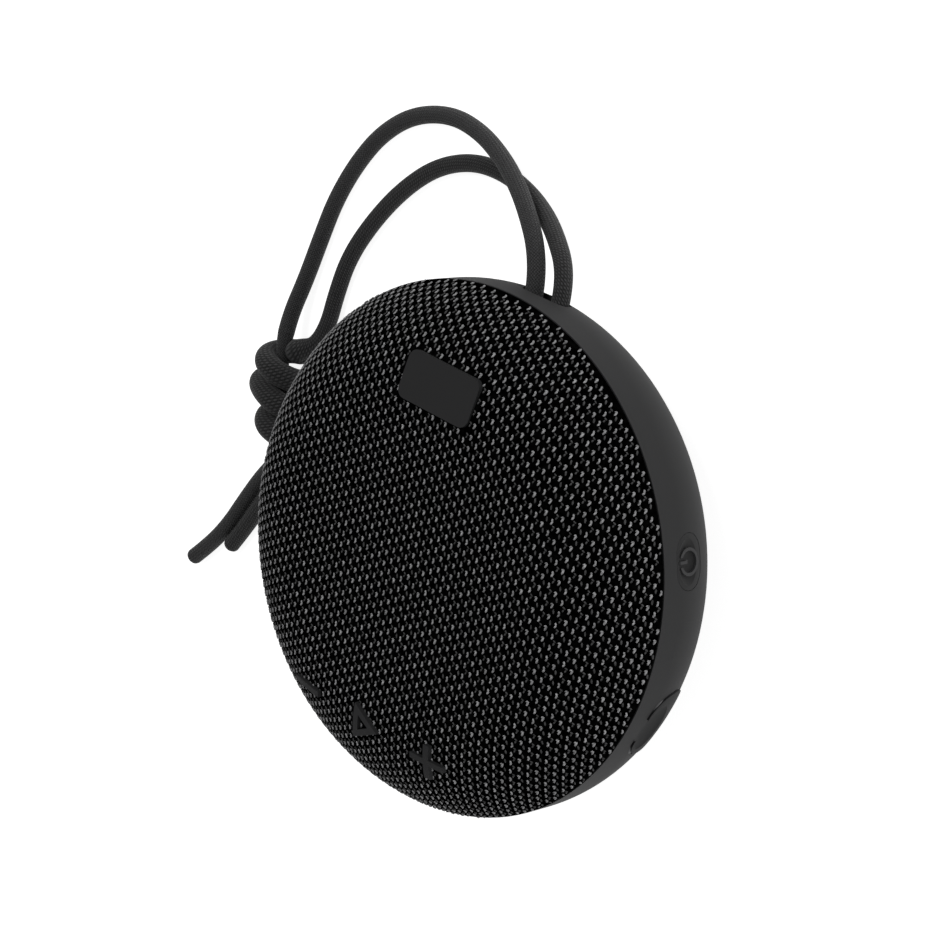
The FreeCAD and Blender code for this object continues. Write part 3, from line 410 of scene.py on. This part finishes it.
def stitch_places(margin):
    """Stitches of the flat cloth out to a margin from its edge, with a flag for every other one of a row."""
    reach = CLOTH_REACH - margin
    for column in range(-STITCH_SPAN, STITCH_SPAN + 1):
        for row in range(-STITCH_SPAN, STITCH_SPAN + 1):
            point = STITCH_NEXT * column + STITCH_DOWN * row
            if point.length < reach:
                yield point, column % 2


def bent(point, proud):
    """A flat cloth point carried to the dome, with two directions of the cloth and the normal there."""
    along = max(point.length, 1e-9)
    outward = Vector((point.x / along, point.y / along, 0))
    radius, level = on_dome(along, proud)
    sine, cosine = dome_normal(along)
    normal = outward * sine + Vector((0, 0, cosine))
    slope = outward * cosine - Vector((0, 0, sine))
    sideways = normal.cross(slope)
    place = Vector((outward.x * radius, outward.y * radius, level))
    cloth_x = slope * outward.x - sideways * outward.y
    cloth_y = slope * outward.y + sideways * outward.x
    return place, cloth_x, cloth_y, normal


# %% Yarn shapes
badge_low, badge_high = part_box("badge_plate")


def under_badge(place):
    return (badge_low.x + BADGE_INSET < place.x < badge_high.x - BADGE_INSET
            and badge_low.y + BADGE_INSET < place.y < badge_high.y - BADGE_INSET)


def yarn_mesh(long, wide, tall):
    """One lozenge along X: a small ball drawn out and flattened."""
    shape = bmesh.new()
    bmesh.ops.create_icosphere(shape, subdivisions=1, radius=1.0)
    bmesh.ops.scale(shape, verts=shape.verts, vec=(long / 2, wide / 2, tall / 2))
    mesh = bpy.data.meshes.new("yarn")
    shape.to_mesh(mesh)
    shape.free()
    return mesh


# Each stitch is drawn by short yarn pieces, in degrees and mm:
# (0 or 1 for every other stitch, shift x, shift y, turn, length, width, height).
PALE_PIECES = ((0, 0.06, -0.10, 74, 1.38, 0.56, 0.40), (0, -0.14, 0.36, 32, 0.66, 0.36, 0.32),
               (1, 0.00, 0.26, 114, 0.86, 0.52, 0.38), (1, 0.03, -0.28, 66, 0.98, 0.52, 0.38))
DIM_PIECES = ((0, 0.62, -1.10, 104, 1.25, 0.50, 0.30), (1, 0.66, -0.90, 150, 0.90, 0.42, 0.28),
              (1, 0.60, -1.50, 70, 0.80, 0.44, 0.28))


EDGE_MARGIN = 0.3 * MM
STRAY_TURN = 0.07
STRAY_SIZE = (0.92, 1.06)
DIM_SUNK = 0.06 * MM


def lay_yarns(name, pieces, proud, material, seed):
    draw = random.Random(seed)
    shape = bmesh.new()
    count = 0
    places = list(stitch_places(EDGE_MARGIN))
    for other, shift_x, shift_y, turn, long, wide, tall in pieces:
        template = yarn_mesh(long * MM, wide * MM, tall * MM)
        shift = Vector((shift_x, shift_y)) * MM
        for point, odd in places:
            if odd != other or (point + shift).length > CLOTH_REACH - EDGE_MARGIN:
                continue
            place, cloth_x, cloth_y, normal = bent(point + shift, proud)
            if under_badge(place):
                continue
            heading = math.radians(turn) + draw.uniform(-STRAY_TURN, STRAY_TURN)
            along = cloth_x * math.cos(heading) + cloth_y * math.sin(heading)
            turned = Matrix((along, normal.cross(along), normal)).transposed().to_4x4()
            copy = template.copy()
            copy.transform(Matrix.Translation(place) @ turned @ Matrix.Scale(draw.uniform(*STRAY_SIZE), 4))
            shape.from_mesh(copy)
            bpy.data.meshes.remove(copy)
            count += 1
    piece = finish_piece(name, shape, material)
    print(name, count)
    return piece


def yarn_material(name, dark, light, roughness):
    paint = Graph(name, light, roughness, Specular_IOR_Level=0.1)
    cloud = paint.noise(1400.0, 2.0)
    paint.set("Base Color", paint.ramp(cloud, 0.3, 0.7, dark, light))
    return paint.material


pale_yarn = yarn_material("pale_yarn", (0.10, 0.10, 0.102), (0.34, 0.34, 0.345), 0.8)
dim_yarn = yarn_material("dim_yarn", (0.030, 0.030, 0.030), (0.075, 0.075, 0.076), 0.9)
yarns = lay_yarns("front_yarns", PALE_PIECES, 0.0, pale_yarn, seed=7)
ties = lay_yarns("front_ties", DIM_PIECES, -DIM_SUNK, dim_yarn, seed=11)


# %% [markdown]
# ## Carrying cord
# The cord is a braided sleeve 4 mm thick. It goes round a pin in the slot, and both strands come out side by
# side, sink to the floor, cross once and run to the knot, past which the two ends lie free. A cord is a fixed
# length on a smooth path, so each strand is a NURBS spline led by given control points, with a tube
# round it. The braid is two crossing families of yarns, drawn on the tube by its UV map and raised by a bump.

# %% Routes
CORD = 2.0
FRONT = [(0, 47.1, 17.5), (-2.4, 47.5, 17.5), (-3.7, 50.8, 17.5), (-3.9, 57.8, 17.3), (-7.8, 64.4, 15.4),
         (-14.2, 69.4, 12.8), (-22.0, 73.3, 9.2), (-30.4, 76.5, 6.0), (-40.4, 79.2, 3.4),
         (-51.2, 79.9, 2.1), (-62.4, 76.4, 2.05), (-71.0, 69.3, 2.05), (-76.8, 60.4, 2.05),
         (-81.1, 50.2, 2.05), (-83.4, 39.6, 2.05), (-85.2, 29.4, 2.3), (-85.6, 20.4, 4.6),
         (-83.8, 12.4, 6.9), (-81.4, 4.6, 7.2), (-79.2, -3.4, 7.0), (-79.2, -9.8, 4.6), (-82.0, -15.4, 2.4),
         (-86.6, -21.6, 2.05), (-90.6, -29.4, 2.05), (-94.4, -37.4, 2.05), (-99.4, -45.0, 2.05),
         (-105.2, -51.6, 2.05)]
REAR_TO_KNOT = [(0, 47.1, 17.5), (2.4, 47.5, 17.5), (3.7, 50.8, 17.5), (3.6, 58.0, 17.2), (0.6, 63.4, 15.3),
                (-6.4, 67.0, 11.5), (-13.6, 69.2, 7.6), (-21.8, 71.2, 4.5), (-31.6, 72.8, 2.7),
                (-42.2, 72.0, 2.05), (-52.4, 67.4, 2.05), (-61.0, 59.3, 2.05), (-68.0, 49.4, 2.05),
                (-73.2, 38.8, 2.05), (-74.8, 29.0, 2.05), (-74.8, 21.6, 2.6), (-75.6, 16.2, 4.6)]
REAR_TAIL = [(-72.6, -11.4, 4.2), (-75.6, -17.2, 2.3), (-82.2, -23.8, 2.05), (-86.0, -30.2, 2.05),
             (-89.2, -36.8, 2.05), (-93.0, -43.4, 2.05)]
KNOT_TOP = Vector((-83.2, 13.8, 7.0))
KNOT_BOTTOM = Vector((-77.9, -6.8, 7.0))
WRAPS = 3
WRAP_STEPS = 14
WRAP_REACH = 4.0
WRAP_BULGE = 3.4
WRAP_TALL = 3.9
PLUMP = 1.45
SQUEEZED = 0.85
PLUMP_RATE = 7
PLUMP_START = 0.9
KNOT_SIDE = -70
KNOT_CEILING = 16


def knot_turns():
    """Three turns of the rear strand round the front one; the middle one stands out a little further."""
    for step in range(WRAPS * WRAP_STEPS + 1):
        share = step / (WRAPS * WRAP_STEPS)
        angle = -2 * math.pi * WRAPS * share
        reach = WRAP_REACH + WRAP_BULGE * math.sin(math.pi * share) ** 3 * max(0.0, -math.cos(angle))
        centre = KNOT_TOP.lerp(KNOT_BOTTOM, share)
        yield (centre.x + reach * math.cos(angle), centre.y, centre.z + WRAP_TALL * math.sin(angle))


def knot_scale(point, inside):
    """Thickness of a strand near the knot: the wraps are plump, and the strand they go round is squeezed."""
    share = (point.y / MM - KNOT_BOTTOM.y) / (KNOT_TOP.y - KNOT_BOTTOM.y)
    near = min(1.0, max(0.0, min(share, 1 - share) * PLUMP_RATE + PLUMP_START))
    if point.x > KNOT_SIDE * MM or point.z > KNOT_CEILING * MM:
        return 1.0
    return 1 + (inside - 1) * near


REAR = REAR_TO_KNOT + list(knot_turns()) + REAR_TAIL


# %% Smooth line through a route
def spline_line(name, route, step):
    """Evenly spaced points along the NURBS spline of a route."""
    data = bpy.data.curves.new(name + "_line", "CURVE")
    data.dimensions = "3D"
    spline = data.splines.new("NURBS")
    spline.points.add(len(route) - 1)
    for point, place in zip(spline.points, route):
        point.co = (*(Vector(place) * MM), 1)
    spline.order_u = 3
    spline.use_endpoint_u = True
    spline.resolution_u = 16
    holder = bpy.data.objects.new(name + "_line", data)
    bpy.context.collection.objects.link(holder)
    line = bpy.data.meshes.new_from_object(holder)
    points = [vertex.co.copy() for vertex in line.vertices]
    bpy.data.objects.remove(holder)
    bpy.data.curves.remove(data)
    bpy.data.meshes.remove(line)
    return even_points(points, step)


def even_points(points, step):
    runs = [(second - first).length for first, second in zip(points, points[1:])]
    total = sum(runs)
    count = max(2, round(total / step))
    spaced = []
    walked = 0.0
    index = 0
    for number in range(count + 1):
        goal = total * number / count
        while index < len(runs) - 1 and walked + runs[index] < goal:
            walked += runs[index]
            index += 1
        share = (goal - walked) / runs[index]
        spaced.append(points[index].lerp(points[index + 1], min(share, 1.0)))
    return spaced, total


# %% Braid
AROUND = 40
YARNS_ROUND = 18
TUBE_STEP = 0.45 * MM
END_ROUNDING = 0.7 * CORD * MM
THINNEST = 0.02 * MM


def carried_frames(points):
    """A sideways and an upward direction at each point, carried along without twisting."""
    frames = []
    side = Vector((0, 0, 1))
    for index, point in enumerate(points):
        ahead = points[min(index + 1, len(points) - 1)] - points[max(index - 1, 0)]
        ahead.normalize()
        side = (side - ahead * side.dot(ahead)).normalized()
        frames.append((side, ahead.cross(side)))
    return frames


def braided_tube(name, route, material, inside):
    """A tube along a route. Its UV map runs once round, and along by the same scale."""
    points, total = spline_line(name, route, TUBE_STEP)
    frames = carried_frames(points)
    rows = len(points) - 1
    girth = 2 * math.pi * CORD * MM
    shape = bmesh.new()
    layer = shape.loops.layers.uv.new("cloth")
    bmesh.ops.create_grid(shape, x_segments=AROUND, y_segments=rows, size=0.5, calc_uvs=True)
    for face in shape.faces:
        for loop in face.loops:
            loop[layer].uv = (loop.vert.co.x + 0.5, (loop.vert.co.y + 0.5) * total / girth)
    for vertex in shape.verts:
        row = round((vertex.co.y + 0.5) * rows)
        along = total * row / rows
        side, lift = frames[row]
        close = min(1.0, min(along, total - along) / END_ROUNDING)
        radius = CORD * MM * math.sqrt(max(0.0, 1 - (1 - close) ** 2)) * knot_scale(points[row], inside)
        angle = 2 * math.pi * (vertex.co.x + 0.5)
        reach = max(radius, THINNEST)
        vertex.co = points[row] + side * (reach * math.cos(angle)) + lift * (reach * math.sin(angle))
    bmesh.ops.remove_doubles(shape, verts=shape.verts, dist=0.001 * MM)
    bmesh.ops.holes_fill(shape, edges=[edge for edge in shape.edges if edge.is_boundary])
    bmesh.ops.recalc_face_normals(shape, faces=shape.faces)
    piece = finish_piece(name, shape, material)
    print(name, "is", round(total / MM, 1), "mm long")
    return piece, [tuple(point) for point in points[::6] + points[-1:]], total


def cord_material(name, against):
    """Black braided polyester: two families of yarns cross, and the second stands out by a share. Its crowns
    are a painted highlight and its grooves painted shade.
    """
    paint = Graph(name, (0.02, 0.02, 0.0205), 0.8, Specular_IOR_Level=0.2, Sheen_Weight=0.1)
    point = paint.add("UVMap")
    turn = paint.add("SeparateXYZ", {}, [point], output=0) * YARNS_ROUND
    along = paint.add("SeparateXYZ", {}, [point], output=1) * YARNS_ROUND
    one, two = turn + along, turn - along
    crowns = [(family * math.pi).math("SINE").math("ABSOLUTE") for family in (one, two)]
    over = (one.math("FLOOR") + two.math("FLOOR")).math("MODULO", 2.0).math("ABSOLUTE")
    height = (crowns[0] * (1.0 - over * against)).math("MAXIMUM", crowns[1] * over * against)
    fine = paint.noise(1500.0, 2.0)
    # Painted shade and highlight: the colour runs from dark in the braid's grooves to light on its crowns, by
    # their height.
    tone_with_painted_shade = paint.ramp(height + fine * 0.5, 0.5, 1.25, (0.0015, 0.0015, 0.0015), (0.045, 0.045, 0.046))
    paint.set("Base Color", tone_with_painted_shade)
    paint.bump(height + fine * 0.3, 0.16 * MM, 0.8)
    return paint.material


# %% Both strands
for name, route, inside, against, hidden in (
        ("front_strand", FRONT, SQUEEZED, 0.9, ("strap_front", "tail_long", "strap_knot")),
        ("rear_strand", REAR, PLUMP, 0.45, ("strap_rear", "tail_short", "strap_fold"))):
    piece, path, total = braided_tube(name, route, cord_material(name + "_braid", against), inside)
    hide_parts(*hidden)


# %% [markdown]
# ## Painted highlight round the port cover
# A thin bead lies on the rim round the cover's upper side, and it moves with the cover. Its lighter grey is a
# painted highlight, standing in for the light caught where the rim curves down into the cover's scoop.

# %% Painted highlight bead on the cover
PORT_TURN = math.radians(-17.5)
PORT_LEVEL = 17.3
LIP = ((-8.3, -3.2), (-8.4, 2.0), (-7.3, 5.0), (-3.4, 6.2), (3.4, 6.2), (7.3, 5.0), (8.4, 2.0), (8.3, -3.2))
LIP_INSET = 0.965
LIP_STEP = 0.3 * MM
LIP_RADIUS = 0.5 * MM
LIP_AROUND = 10
LIP_TAPER_ROWS = 12
RAY_FROM = 80


def rim_point(sideways, level):
    """The point on the rim this far sideways from the port's middle and at a level, by a ray inwards."""
    outward = Vector((math.cos(PORT_TURN), math.sin(PORT_TURN), 0))
    tangent = Vector((-outward.y, outward.x, 0))
    start = outward * RAY_FROM * MM + tangent * sideways * MM + Vector((0, 0, level * MM))
    hit, place, _, _ = nodes["port_cover"].ray_cast(start, -outward)
    if not hit:
        hit, place, _, _ = nodes["rear_shell"].ray_cast(start, -outward)
    return tuple(value / MM for value in place)


def make_highlight_bead():
    route = [rim_point(side * LIP_INSET, PORT_LEVEL + above * LIP_INSET) for side, above in LIP]
    points = spline_line("cover_highlight_bead", route, LIP_STEP)[0]
    frames = carried_frames(points)
    rows = len(points) - 1
    shape = bmesh.new()
    bmesh.ops.create_grid(shape, x_segments=LIP_AROUND, y_segments=rows, size=0.5)
    for vertex in shape.verts:
        row = round((vertex.co.y + 0.5) * rows)
        side, lift = frames[row]
        angle = 2 * math.pi * (vertex.co.x + 0.5)
        taper = min(1.0, min(row, rows - row) / LIP_TAPER_ROWS)
        reach = max(LIP_RADIUS * math.sqrt(taper), THINNEST)
        vertex.co = points[row] + side * (reach * math.cos(angle)) + lift * (reach * math.sin(angle))
    bmesh.ops.remove_doubles(shape, verts=shape.verts, dist=0.001 * MM)
    bmesh.ops.holes_fill(shape, edges=[edge for edge in shape.edges if edge.is_boundary])
    bmesh.ops.recalc_face_normals(shape, faces=shape.faces)
    # Painted highlight: the bead's light grey stands in for light on the upper edge of the cover's scoop.
    rubber = moulded("cover_highlight_bead", (0.075, 0.075, 0.077), 0.6)
    return finish_piece("cover_highlight_bead", shape, rubber, body="port_flap")


make_highlight_bead()
